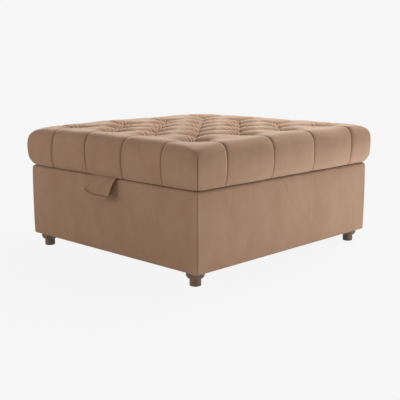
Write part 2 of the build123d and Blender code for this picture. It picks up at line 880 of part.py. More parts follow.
def make_all():
    dust_staples = edge_staples(dust_staple_shares, staple_inset, foot_height)
    rail_holes = rail_screws(screw_clearance)
    leaf_holes = box_leaf_screws(screw_clearance)
    bolt_holes = [tee_nut(x, y, bolt_clearance) + foot_bolt(x, y, bolt_clearance) for x, y in foot_places()]
    pieces = make_walls(dust_staples + rail_holes + leaf_holes)
    pieces.update(make_floor(dust_staples, bolt_holes))
    pieces["storage_lining"] = pieces["storage_lining"] - rail_holes
    pieces["dust_cover_staples"] = Compound(dust_staples)
    pieces.update(make_feet())
    pieces.update(make_hinges())
    pieces.update(make_stays())
    pieces.update(make_lid())
    pieces["tab_anchor"] = make_anchor(lid_staples()[1])
    pieces["pull_tab"] = make_tab()
    return pieces


os.makedirs("parts", exist_ok=True)
for piece_name, piece in make_all().items():
    export_step(Pos(0, middle_y, 0) * piece, f"parts/{piece_name}.step")
    print(piece_name, len(piece.solids()), round(piece.volume))
pivot_y, pivot_z = pivot_place()
print("stay pivot", round(pivot_y + middle_y, 4), round(pivot_z, 4))
print("hinge axis", hinge_y + middle_y, hinge_z)
print("tab pivot", tab_pivot()[0] + middle_y, tab_pivot()[1])
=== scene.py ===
import json
import math

import bpy
import numpy as np
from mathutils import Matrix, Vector


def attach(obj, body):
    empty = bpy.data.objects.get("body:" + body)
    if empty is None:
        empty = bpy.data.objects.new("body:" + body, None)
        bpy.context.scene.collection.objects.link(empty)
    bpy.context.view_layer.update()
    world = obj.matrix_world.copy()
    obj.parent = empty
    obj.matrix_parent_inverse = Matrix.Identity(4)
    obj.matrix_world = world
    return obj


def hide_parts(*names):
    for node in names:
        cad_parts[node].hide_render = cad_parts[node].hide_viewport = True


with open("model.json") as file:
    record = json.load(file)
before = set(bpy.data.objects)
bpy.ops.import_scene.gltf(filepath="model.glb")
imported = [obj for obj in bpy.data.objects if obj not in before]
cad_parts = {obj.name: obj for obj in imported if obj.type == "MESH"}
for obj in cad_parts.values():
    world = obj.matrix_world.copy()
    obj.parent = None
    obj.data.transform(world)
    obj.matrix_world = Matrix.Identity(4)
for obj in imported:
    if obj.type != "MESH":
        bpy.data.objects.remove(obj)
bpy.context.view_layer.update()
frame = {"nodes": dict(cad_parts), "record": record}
mm = 0.001

# The footstool as it was made, in millimetres: the box and the levels of its lid.
stool = {
    "halfWidth": 432.0,
    "halfDepth": 461.0,
    "middleY": 11.9,  # of the box, behind the middle of the whole object
    "boxFoot": 47.0,
    "rim": 307.0,
    "crown": 452.0,
    "tuftRows": 4,
    "tuftX": 592.0 / 3,  # from one button to the next
    "tuftY": 662.0 / 3,
}


def linear(red, green, blue):
    # 0-255 display values to the linear ones that a colour socket takes
    shares = np.array([red, green, blue]) / 255
    return (*np.where(shares <= 0.04045, shares / 12.92, ((shares + 0.055) / 1.055) ** 2.4), 1.0)


def progress(value, start, end):
    # how much of the way from start to end a value has come, from 0 to 1
    return np.clip((value - start) / (end - start), 0, 1)


def eased(value, start, end):
    # the same, setting off and arriving slowly
    share = progress(value, start, end)
    return share**2 * (3 - 2 * share)


def ridge(distance, width, power=2):
    # 1 on a line, falling off as a bell on both sides of it
    return np.exp(-np.abs(distance / width) ** power)


def gridFaces(rows, columns, closed=False):
    # the four corners of each cell of a rows by columns grid of vertex numbers
    row = np.arange(rows - 1)[:, None] * columns
    column = np.arange(columns if closed else columns - 1)[None, :]
    following = (column + 1) % columns
    corners = [row + column, row + following, row + columns + following, row + columns + column]
    return np.stack(np.broadcast_arrays(*corners), -1).reshape(-1, 4)


def gridEdge(rows, columns):
    # the vertex numbers of a grid's edge, once round
    number = np.arange(rows * columns).reshape(rows, columns)
    return np.concatenate([number[0, :-1], number[:-1, -1], number[-1, :0:-1], number[:0:-1, 0]])


def ringFaces(rings):
    # the cells between closed rings of vertex numbers, each ring below the one before
    above, below = rings[:-1], rings[1:]
    return np.stack([above, below, np.roll(below, -1, 1), np.roll(above, -1, 1)], -1).reshape(-1, 4)


def fanFaces(ring, tip):
    # the triangles from a closed ring to one point
    return np.stack([ring, np.full(len(ring), tip), np.roll(ring, -1)], -1)


def joined(*parts):
    # grids and lists of points as one list
    return np.concatenate([np.reshape(part, (-1, 3)) for part in parts])


def makePiece(name, points, quads, triangles=(), finish="cover_fabric", **shares):
    # points in millimetres, measured from the middle of the box; shares are attributes from 0 to 1,
    # and 0 for the points that they leave out at the end
    triangles = np.asarray(triangles, np.int64).reshape(-1, 3)
    place = (points + (0, stool["middleY"], 0)) * mm
    mesh = bpy.data.meshes.new(name)
    mesh.vertices.add(len(place))
    mesh.vertices.foreach_set("co", place.astype(np.float32).ravel())
    corners = np.concatenate([quads.ravel(), triangles.ravel()])
    sizes = np.repeat([4, 3], [len(quads), len(triangles)])
    mesh.loops.add(len(corners))
    mesh.loops.foreach_set("vertex_index", corners.astype(np.int32))
    mesh.polygons.add(len(sizes))
    mesh.polygons.foreach_set("loop_start", (np.cumsum(sizes) - sizes).astype(np.int32))
    for kind, values in shares.items():
        share = np.zeros(len(points), np.float32)
        share[: values.size] = values.ravel()
        mesh.attributes.new(kind, "FLOAT", "POINT").data.foreach_set("value", share)
    mesh.update(calc_edges=True)
    mesh.validate()
    mesh.shade_smooth()
    mesh.materials.append(finishes[finish])
    piece = bpy.data.objects.new(name, mesh)
    bpy.context.scene.collection.objects.link(piece)
    return piece


def evenly(path, spacing):
    # the same line, its points spaced evenly by length, with the length run at each
    run = np.concatenate([[0], np.cumsum(np.linalg.norm(np.diff(path, axis=0), axis=1))])
    count = max(2, int(round(run[-1] / spacing)) + 1)
    wanted = np.linspace(0, run[-1], count)
    return np.stack([np.interp(wanted, run, column) for column in path.T], 1), wanted


def quarterArc(middle, start, end, power=1.0, steps=10):
    # a quarter of a superellipse round its middle, from one half axis to the other
    turn = np.linspace(0, math.pi / 2, steps)[:, None]
    return middle + np.cos(turn) ** power * start + np.sin(turn) ** power * end


def facings(line):
    # the way that the surface faces at each point of its line of (out, height)
    slope = np.gradient(line, axis=0)
    slope /= np.linalg.norm(slope, axis=1)[:, None]
    return np.stack([-slope[:, 1], slope[:, 0]], 1)


class Nodes:
    # short ways to add nodes to a tree and to wire them
    def __init__(self, tree):
        self.tree = tree

    def feed(self, socket, value):
        # value is another node's output, or what the socket holds
        if isinstance(value, bpy.types.NodeSocket):
            self.tree.links.new(value, socket)
        else:
            socket.default_value = value

    def node(self, kind, feeds=(), **settings):
        made = self.tree.nodes.new("ShaderNode" + kind)
        for name, value in settings.items():
            setattr(made, name, value)
        for name, value in dict(feeds).items():
            self.feed(made.inputs[name], value)
        return made

    def maths(self, kind, first, second=0.0, clamp=False):
        return self.node("Math", {0: first, 1: second}, operation=kind, use_clamp=clamp).outputs[0]

    def mix(self, share, first, second, **settings):
        return self.node("Mix", {0: share, 6: first, 7: second}, data_type="RGBA", **settings).outputs[2]


class Finish(Nodes):
    # a principled material; every pattern reads Object coordinates, in metres
    def __init__(self, name, roughness, **sockets):
        self.material = bpy.data.materials.new(name)
        self.material.use_nodes = True
        super().__init__(self.material.node_tree)
        self.shader = self.tree.nodes["Principled BSDF"]
        self.shader.inputs["Roughness"].default_value = roughness
        for socket, value in sockets.items():
            self.shader.inputs[socket.replace("_", " ")].default_value = value
        self.place = self.node("TexCoord").outputs["Object"]

    def stretched(self, scale):
        return self.node("Mapping", {"Scale": scale, "Vector": self.place}).outputs["Vector"]

    def noise(self, scale, detail, roughness, stretch=(1, 1, 1), distortion=0.0):
        feeds = {"Scale": scale, "Detail": detail, "Roughness": roughness, "Distortion": distortion}
        return self.node("TexNoise", {**feeds, "Vector": self.stretched(stretch)}).outputs["Fac"]

    def bands(self, scale, direction, distortion, detail, stretch=(1, 1, 1)):
        feeds = {"Scale": scale, "Distortion": distortion, "Detail": detail}
        feeds["Vector"] = self.stretched(stretch)
        return self.node("TexWave", feeds, bands_direction=direction).outputs["Fac"]

    def weighed(self, *pairs):
        # the sum of two patterns, each times its weight
        return self.maths("ADD", *[self.maths("MULTIPLY", pattern, weight) for pattern, weight in pairs])

    def ramp(self, source, *stops):
        # stops are (place, value or display colour)
        made = self.node("ValToRGB", {"Fac": source})
        elements = made.color_ramp.elements
        for element, (place, value) in zip(elements, stops):
            element.position = place
            element.color = linear(*value) if isinstance(value, tuple) else (value, value, value, 1)
        return made.outputs["Color"]

    def colour(self, source):
        self.feed(self.shader.inputs["Base Color"], source)

    def rough(self, source, low, high):
        spread = self.node("MapRange", {"Value": source, "To Min": low, "To Max": high})
        self.feed(self.shader.inputs["Roughness"], spread.outputs["Result"])

    def bump(self, height, strength, depth):
        # depth in millimetres
        made = self.node("Bump", {"Strength": strength, "Distance": depth * mm, "Height": height})
        self.feed(self.shader.inputs["Normal"], made.outputs["Normal"])


velvet = {
    # painted shade: the dark colour laid along seams, slits and creases, and on the upper right of the lid
    "seamShade": linear(74, 48, 34),
    # painted light: the paler colour laid on the lower right of the lid
    "paler": linear(214, 180, 154),
    "nap": ((0.32, (158, 124, 100)), (0.68, (169, 136, 112))),
    "sheen": 0.75,
    "sheenRoughness": 0.3,
    "sheenTint": linear(246, 228, 210),
}


def velvetFinish():
    # short pile: broad shading where the nap lies over, fine mottling and a soft sheen
    sheen = {"Sheen_Roughness": velvet["sheenRoughness"], "Sheen_Tint": velvet["sheenTint"]}
    finish = Finish("velvetCover", 0.92, Specular_IOR_Level=0.06, **sheen)
    broad = finish.noise(9, 3, 0.55, (1, 1, 0.7), 0.6)
    streak = finish.noise(60, 4, 0.65, (1, 1, 0.25))
    nap = finish.ramp(finish.weighed((broad, 0.75), (streak, 0.25)), *velvet["nap"])
    # the seam attribute is painted shade in seams, slits, creases and the lid's upper right, with no sheen;
    # pressed is where the pile lies flat; the last attribute is painted light on the lid's lower right
    kinds = [finish.node("Attribute", attribute_name=kind) for kind in ("seam", "pressed", "paler")]
    seam, pressed, paler = [kind.outputs["Fac"] for kind in kinds]
    lit = finish.mix(paler, nap, velvet["paler"])
    finish.colour(finish.mix(seam, lit, velvet["seamShade"]))
    raised = finish.maths("SUBTRACT", 1.0, finish.maths("MAXIMUM", seam, pressed))
    finish.feed(finish.shader.inputs["Sheen Weight"], finish.maths("MULTIPLY", raised, velvet["sheen"]))
    finish.bump(finish.noise(900, 2, 0.6), 0.25, 0.35)
    return finish.material


footWood = {"dark": (72, 53, 38), "pale": (126, 97, 72)}


def woodFinish(name, dark, pale, along, roughness, lines=60.0):
    # long grain: noise drawn out along one axis, with darker pores in it
    finish = Finish(name, roughness)
    stretch = [0.06 if axis == along else 1.0 for axis in "XYZ"]
    grain = finish.noise(lines, 5, 0.6, stretch, 0.8)
    pores = finish.noise(lines * 9, 2, 0.5, stretch)
    finish.colour(finish.ramp(grain, (0.3, dark), (0.7, pale)))
    finish.rough(pores, roughness - 0.08, roughness + 0.12)
    finish.bump(finish.ramp(pores, (0.35, 0.0), (0.5, 1.0)), 0.3, 0.15)
    return finish.material


def plyFinish():
    # birch veneer with the plies showing as bands on the edges
    finish = Finish("birchPly", 0.62)
    grain = finish.noise(22, 6, 0.6, (0.08, 1, 1), 1.0)
    flat = finish.ramp(grain, (0.3, (196, 160, 116)), (0.7, (222, 190, 146)))
    bands = finish.bands(105, "Z", 0.15, 1)
    plies = finish.ramp(bands, (0.35, (150, 112, 76)), (0.6, (255, 250, 240)))
    split = finish.node("SeparateXYZ", {0: finish.node("NewGeometry").outputs["Normal"]})
    edge = finish.maths("SUBTRACT", 1.0, finish.maths("ABSOLUTE", split.outputs["Z"]))
    finish.colour(finish.mix(finish.maths("MULTIPLY", edge, 0.6), flat, plies, blend_type="MULTIPLY"))
    finish.bump(grain, 0.2, 0.2)
    return finish.material


def wovenFinish(name, dark, pale, threads, depth):
    # plain weave: two sets of bands at right angles, whichever way the cloth faces
    finish = Finish(name, 0.9, Specular_IOR_Level=0.25)
    warp = finish.bands(threads, "DIAGONAL", 0.4, 1, (1.4, 1.4, 0.0001))
    weft = finish.bands(threads, "DIAGONAL", 0.4, 1, (0.7, -0.7, 1.7))
    cross = finish.maths("MULTIPLY", warp, weft)
    mixed = finish.weighed((cross, 0.55), (finish.noise(45, 4, 0.6), 0.6))
    finish.colour(finish.ramp(mixed, (0.2, dark), (0.75, pale)))
    finish.bump(cross, 0.5, depth)
    return finish.material


def matFinish(name, dark, pale, roughness, grain, depth):
    # pressed, moulded or foamed stuff: mottled, with a fine uneven surface
    finish = Finish(name, roughness)
    fine = finish.noise(grain, 3, 0.6)
    mottled = finish.weighed((fine, 0.5), (finish.noise(14, 3, 0.5), 0.5))
    finish.colour(finish.ramp(mottled, (0.35, dark), (0.65, pale)))
    finish.rough(fine, roughness - 0.06, roughness + 0.08)
    finish.bump(fine, 0.35, depth)
    return finish.material


def zincFinish():
    # bright zinc plate: faint cloudy patches and drawn lines
    finish = Finish("zincPlate", 0.36, Metallic=1.0)
    cloud = finish.noise(70, 4, 0.6)
    finish.colour(finish.ramp(cloud, (0.3, (172, 173, 172)), (0.7, (206, 207, 205))))
    finish.rough(cloud, 0.28, 0.46)
    finish.bump(finish.noise(500, 2, 0.5, (1, 0.04, 1)), 0.15, 0.05)
    return finish.material


finishes = {
    "cover_fabric": velvetFinish(),
    "foot_wood": woodFinish("stainedBeech", footWood["dark"], footWood["pale"], "Z", 0.5),
    "pine": woodFinish("pine", (196, 160, 112), (226, 196, 150), "X", 0.6, 30.0),
    "plywood": plyFinish(),
    "lining_fabric": wovenFinish("liningCloth", (52, 45, 40), (84, 75, 68), 420.0, 0.3),
    "dust_fabric": matFinish("dustFelt", (20, 20, 20), (40, 40, 41), 0.95, 700.0, 0.3),
    "foam": matFinish("foam", (222, 210, 176), (242, 234, 206), 0.95, 420.0, 0.8),
    "twine": wovenFinish("twine", (176, 158, 128), (222, 206, 178), 900.0, 0.2),
    "zinc_steel": zincFinish(),
    "nylon": matFinish("nylon", (24, 22, 21), (38, 36, 34), 0.5, 900.0, 0.05),
    "clip_plastic": matFinish("clipPlastic", (204, 204, 196), (226, 226, 218), 0.45, 700.0, 0.05),
    "bumper_rubber": matFinish("bumperRubber", (18, 18, 18), (32, 32, 32), 0.8, 800.0, 0.1),
}
for material in frame["record"]["materials"]:
    print("finish", material["slot"], finishes[material["slot"]].name)

# Lid cushion: one closed form with a tufted top and pleated sides. A level is a share of the way
# down from the crown to the foot, and a table of levels is read between its points.
cushion = {
    "inset": 45.0,  # edge of the flat top from the side of the box
    "overhang": 13.5,
    "fullestZ": 372.0,
    "footZ": 308.6,  # soft lip that nearly rests on the rim
    "footInset": 5.0,  # that lip from the side of the box
    "pocketInset": 12.4,
    "pocketZ": 391.0,
    "topCorner": 75.0,  # plan radius of the flat top's corners
    "cornerRadius": ((0.0, 0.1, 0.25, 0.45, 0.8, 1.0), (75.0, 36.0, 9.0, 5.0, 8.0, 28.0)),  # by level
    "heldTo": (360.0, 305.0),  # along the right and left sides, and along the front and back
    "crowdPower": ((0.0, 0.3), (1.0, 1.5)),  # by level
    "cornerDroop": ((12.0, 4.0), (22.0, 0.0)),  # front left, back left, front right, back right
    "droopEnd": 0.6,  # level
    "cornerWiden": ((10.0, 4.0), (0.0, -2.0)),
    "widenShares": ((0.0, 0.25, 1.0), (0.0, 1.0, 0.3)),  # by level
    "cornerSquare": ((-0.1, 0.0), (0.2, 0.7)),
    "squareShares": (0.65, 0.9),  # of the way to the corner
    "rimHollow": 1.5,  # between the outer tufts and the crest of the roll
    "hollowEnd": 12.0,
    "rollPower": 3.0,
    "squarePower": 6.0,
    "tuckPower": 2.2,
    "pushShares": ((0.97, 1.0), (1.0, 0.0)),  # by level
    "dipDepth": 50.0,
    "dipShares": (0.92, 1.0),
    "dipReach": 82.0,
    "dipPower": 2.9,
    "dipFloor": 9.0,
    "diagonalDepth": (20.0, 11.0),  # beside a button, and half way to the next
    "diagonalSlit": (11.0, 3.3),
    # painted shade along the diagonal slits, beside a button and half way to the next
    "diagonalShade": (1.0, 0.15),
    "diagonalUneven": (-2.0, 2.0),
    "diagonalReach": 60.0,
    "midway": (15.0, 60.0),  # from a button, where the second number takes over
    "sideSeamX": 95.0,  # pleats of the front and back, half of the way from one to the next
    "sideSeamY": 113.4,
    "fanOut": (-60.0, 60.0),  # from the flat top's edge, where the pleats spread to those places
    "pleatRun": (-85.0, -30.0, 5.0, 40.0, 60.0, 115.0, 190.0),  # from the flat top's edge, outwards
    "pleatDepth": (18.0, 7.0, 5.2, 4.6, 3.8, 2.2, 1.4),
    "pleatReach": (60.0, 44.0, 30.0, 20.0, 14.0, 10.0, 8.0),
    "pleatSlit": (11.0, 4.5, 7.0, 8.0, 7.0, 5.0, 2.8),
    # painted shade along the pleats' slits
    "pleatShade": (0.9, 0.2, 0.35, 0.55, 0.48, 0.36, 0.16),
    "slitWidth": 2.0,
    "slitPower": 1.5,
    "creaseSoftness": 1.0,
    "creasePower": 0.55,
    "wrinkleCount": 26,
    "wrinkleDepth": 4.6,
    "wrinkleStrength": (0.85, 0.25),
    "wrinkleBends": (0.5, 0.35),
    "wrinkleTurn": 2.2,
    "wrinkleLean": 0.012,
    "wrinkleRise": (4.0, 28.0),
    "wrinkleTop": 34.0,
    "wrinkleFade": 40.0,
    "wrinklePower": 0.8,
    "wrinkleLevel": 0.6,  # share of a fold's height that lies at the plain surface
    "wrinkleStart": (0.0, 6.3),
    "waves": (310, 240, 190, 150, 120),
    "waveHeight": 0.5,
    "panelCrown": 5.0,
    "panelPower": 3.5,
    "panelShares": ((0.0, 0.2, 0.55, 1.0), (0.0, 0.7, 1.0, 0.2)),  # by level
    "panelFade": 30.0,  # past the last pleat
    "cornerFade": 80.0,  # before the corner
    "cornerPinch": 0.2,
    "flatEnd": 0.25,  # level where the sides are their own plan and not the opened-out top's
    "cornerSeamDepth": 5.0,
    "cornerSeamWidth": 1.2,
    "cornerSeamShade": 0.45,
    "cornerSeamShares": ((0.2, 0.36, 0.97, 1.0), (0.0, 1.0, 1.0, 0.0)),  # by level
    # painted light on the lower right of the lid, then painted shade on its upper right
    "paler": (0.28, (432.0, 438.0), (392.0, 316.0), (-430.0, 270.0)),  # share, then from none to
    "paintedShade": (0.16, (410.0, 430.0), (370.0, 420.0)),  # all of it along X, Z and Y
    "seamShadeShare": 0.75,  # of the painted seam shade colour, in the deepest line
    "pressedRise": 1.0,
    "cells": ((20, 34), (1.5, 2.8)),  # their size, by the distance from a line of buttons
    "cellLeast": 1.0,
    "ringSpacing": 2.6,
    "seed": 11,
}


def gradedLine(end, lines):
    # places from -end to end, closer together near the given lines; the last steps are shared out
    place, found = -end, [-end]
    while place < end - cushion["cellLeast"]:
        near = np.min(np.abs(np.asarray(lines) - place))
        place += float(np.interp(near, *cushion["cells"]))
        found.append(place)
    found = np.array(found)
    return -end + (found + end) * (2 * end / (found[-1] + end))


def lidProfile():
    # quarter of a superellipse from the flat top out to the fullest part, then a flatter one back
    # in to the underside: offset past the flat top's edge, height, and the way the surface faces
    fullest, foot = cushion["fullestZ"], cushion["footZ"]
    out, back = cushion["inset"] + cushion["overhang"], cushion["overhang"] + cushion["footInset"]
    up, over = np.array([[0, stool["crown"] - fullest], [out, 0]])
    roll = quarterArc((0, fullest), up, over, 2 / cushion["rollPower"], 400)
    over, down = np.array([[back, 0], [0, foot - fullest]])
    tuck = quarterArc((out - back, fullest), over, down, 2 / cushion["tuckPower"], 400)
    hem = [[cushion["inset"] - cushion["pocketInset"], foot]]
    line, run = evenly(np.concatenate([roll, tuck[1:], hem]), cushion["ringSpacing"])
    return line, run, facings(line)


def roundedSquare(x, y, halfX, halfY, radius):
    # each corner's square of side radius is drawn in to a quarter disc, and the rest stays
    s, t = progress(np.abs(x), halfX - radius, halfX), progress(np.abs(y), halfY - radius, halfY)
    corner = (s > 0) & (t > 0)
    inX = np.where(corner, np.sign(x) * (halfX - radius + radius * s * np.sqrt(1 - t**2 / 2)), x)
    inY = np.where(corner, np.sign(y) * (halfY - radius + radius * t * np.sqrt(1 - s**2 / 2)), y)
    return inX, inY


def crease(distance, reach):
    # 1 in the crease, falling to 0 at its reach as a quarter of a round puff does
    soft = np.sqrt(distance**2 + cushion["creaseSoftness"] ** 2)
    return 1 - (1 - (1 - np.clip(soft / reach, 0, 1)) ** 2) ** cushion["creasePower"]


def buttonPlaces():
    # the outer grid of buttons, then the one between them
    def places(rows, pitch):
        return (np.arange(rows) - (rows - 1) / 2) * pitch

    return [
        (x, y)
        for rows in (stool["tuftRows"], stool["tuftRows"] - 1)
        for x in places(rows, stool["tuftX"])
        for y in places(rows, stool["tuftY"])
    ]


def segmentDistance(x, y, start, end):
    along = np.subtract(end, start)
    share = np.clip(((x - start[0]) * along[0] + (y - start[1]) * along[1]) / (along @ along), 0, 1)
    return np.hypot(x - start[0] - share * along[0], y - start[1] - share * along[1])


def tuftDepth(x, y):
    # How far the cover is drawn in at a place on the opened-out top, and the painted shade along its seams.
    # What is left of the full depth is the product of one share for each diagonal seam, each edge pleat and
    # each button.
    # A narrow slit lies along every seam, and folds fan out from every button.
    rng = np.random.default_rng(cushion["seed"])
    full = cushion["dipDepth"]
    left = np.ones_like(x)
    slit, shade, folds = np.zeros_like(x), np.zeros_like(x), np.zeros_like(x)
    outer = (stool["tuftRows"] - 1) / 2
    edgeX, edgeY = outer * stool["tuftX"], outer * stool["tuftY"]
    near = np.min([np.hypot(x - place[0], y - place[1]) for place in buttonPlaces()], axis=0)
    midway = progress(near, *cushion["midway"])

    def sew(away, depth, reach, deep, tone):
        # one seam: the share that its puffs leave, and the slit and the painted shade of its line
        nonlocal left, slit, shade
        line = ridge(away, cushion["slitWidth"], cushion["slitPower"])
        left = left * (1 - depth / full * crease(away, reach))
        slit, shade = np.maximum(slit, deep * line), np.maximum(shade, tone * line)

    depth, deep, tone = [
        beside + (between - beside) * midway
        for beside, between in (cushion["diagonalDepth"], cushion["diagonalSlit"], cushion["diagonalShade"])
    ]
    for slope in (-1, 1):
        for shift in range(-2, 3):
            low, high = max(-outer, shift - outer), min(outer, shift + outer)
            start = (low * stool["tuftX"], slope * (low - shift) * stool["tuftY"])
            end = (high * stool["tuftX"], slope * (high - shift) * stool["tuftY"])
            away = segmentDistance(x, y, start, end)
            uneven = rng.uniform(*cushion["diagonalUneven"])
            sew(away, depth + uneven, cushion["diagonalReach"], deep, tone)
    for across, out, pitch, seam, edge, half in (
        (x, y, stool["tuftX"], cushion["sideSeamX"], edgeY, stool["halfDepth"]),
        (y, x, stool["tuftY"], cushion["sideSeamY"], edgeX, stool["halfWidth"]),
    ):
        past = np.abs(out) - half + cushion["inset"]
        spread = np.interp(past, cushion["fanOut"], (pitch / 2, seam))
        tables = ("pleatDepth", "pleatReach", "pleatSlit", "pleatShade")
        pleat = [np.interp(past, cushion["pleatRun"], cushion[table]) for table in tables]
        inside = np.clip(edge - np.abs(out), 0, None)
        for place in (-3, -1, 1, 3):
            sew(np.hypot(across - place * spread, inside), *pleat)
    pastX = progress(np.abs(x), edgeX, stool["halfWidth"] - cushion["hollowEnd"])
    pastY = progress(np.abs(y), edgeY, stool["halfDepth"] - cushion["hollowEnd"])
    hollow = cushion["rimHollow"] * np.sin(math.pi * np.maximum(pastX, pastY))

    def wave(count):
        # a number of waves round the button, from a drawn start
        return np.sin(count * angle + rng.uniform(*cushion["wrinkleStart"]))

    for place in buttonPlaces():
        away = np.hypot(x - place[0], y - place[1])
        angle = np.arctan2(y - place[1], x - place[0])
        draw = 1 - progress(away, cushion["dipFloor"], cushion["dipFloor"] + cushion["dipReach"])
        left *= 1 - rng.uniform(*cushion["dipShares"]) * draw ** cushion["dipPower"]
        bend = cushion["wrinkleBends"][0] * wave(2) + cushion["wrinkleBends"][1] * wave(3)
        turn = cushion["wrinkleCount"] / 2 * angle + cushion["wrinkleTurn"] * bend
        turn = turn + cushion["wrinkleLean"] * away * wave(1)
        strength = cushion["wrinkleStrength"][0] + cushion["wrinkleStrength"][1] * wave(5)
        fade = ridge(away - cushion["wrinkleTop"], cushion["wrinkleFade"])
        fade = np.where(away < cushion["wrinkleTop"], progress(away, *cushion["wrinkleRise"]), fade)
        fold = np.abs(np.sin(turn)) ** cushion["wrinklePower"] - cushion["wrinkleLevel"]
        folds -= cushion["wrinkleDepth"] * strength * fold * fade
    return full * (1 - left) + slit + folds + hollow, shade


def unevenness(x, y):
    # a sum of slow waves in drawn directions, under a millimetre each
    rng = np.random.default_rng(cushion["seed"] + 1)
    total = np.zeros_like(x)
    for length in cushion["waves"]:
        angle, phase = rng.uniform(0, math.pi), rng.uniform(0, 2 * math.pi)
        along = x * math.cos(angle) + y * math.sin(angle)
        total += cushion["waveHeight"] * np.sin(2 * math.pi / length * along + phase)
    return total


def panelSwell(x, y, side):
    # Each side panel stands out between its two seams, flat across its middle. Past the last seam
    # it rises again, and sinks toward the corner.
    across = np.abs(np.where(side, y, x))
    edge = np.where(side, stool["halfDepth"], stool["halfWidth"]) + cushion["overhang"]
    seam = np.where(side, cushion["sideSeamY"], cushion["sideSeamX"])
    power = cushion["panelPower"]
    between = np.abs(2 * np.mod(across / seam / 2 + 0.5, 1) - 1)
    atSeam = progress(across, 3 * seam + cushion["panelFade"], 3 * seam) ** power
    atCorner = progress(across, edge - cushion["cornerFade"], edge) ** 2
    past = (1 - atSeam) * (1 - atCorner) - cushion["cornerPinch"] * atCorner
    return np.where(across > 3 * seam, past, 1 - between**power)


def cornerDroop(x, y):
    # the four corners of the top sit a little lower than its middle, by the fourth power of the way
    shareX, shareY = progress(np.abs(x), 0, stool["halfWidth"]), progress(np.abs(y), 0, stool["halfDepth"])
    depth = np.array(cushion["cornerDroop"])[(x > 0).astype(int), (y > 0).astype(int)]
    return depth * shareX**4 * shareY**4


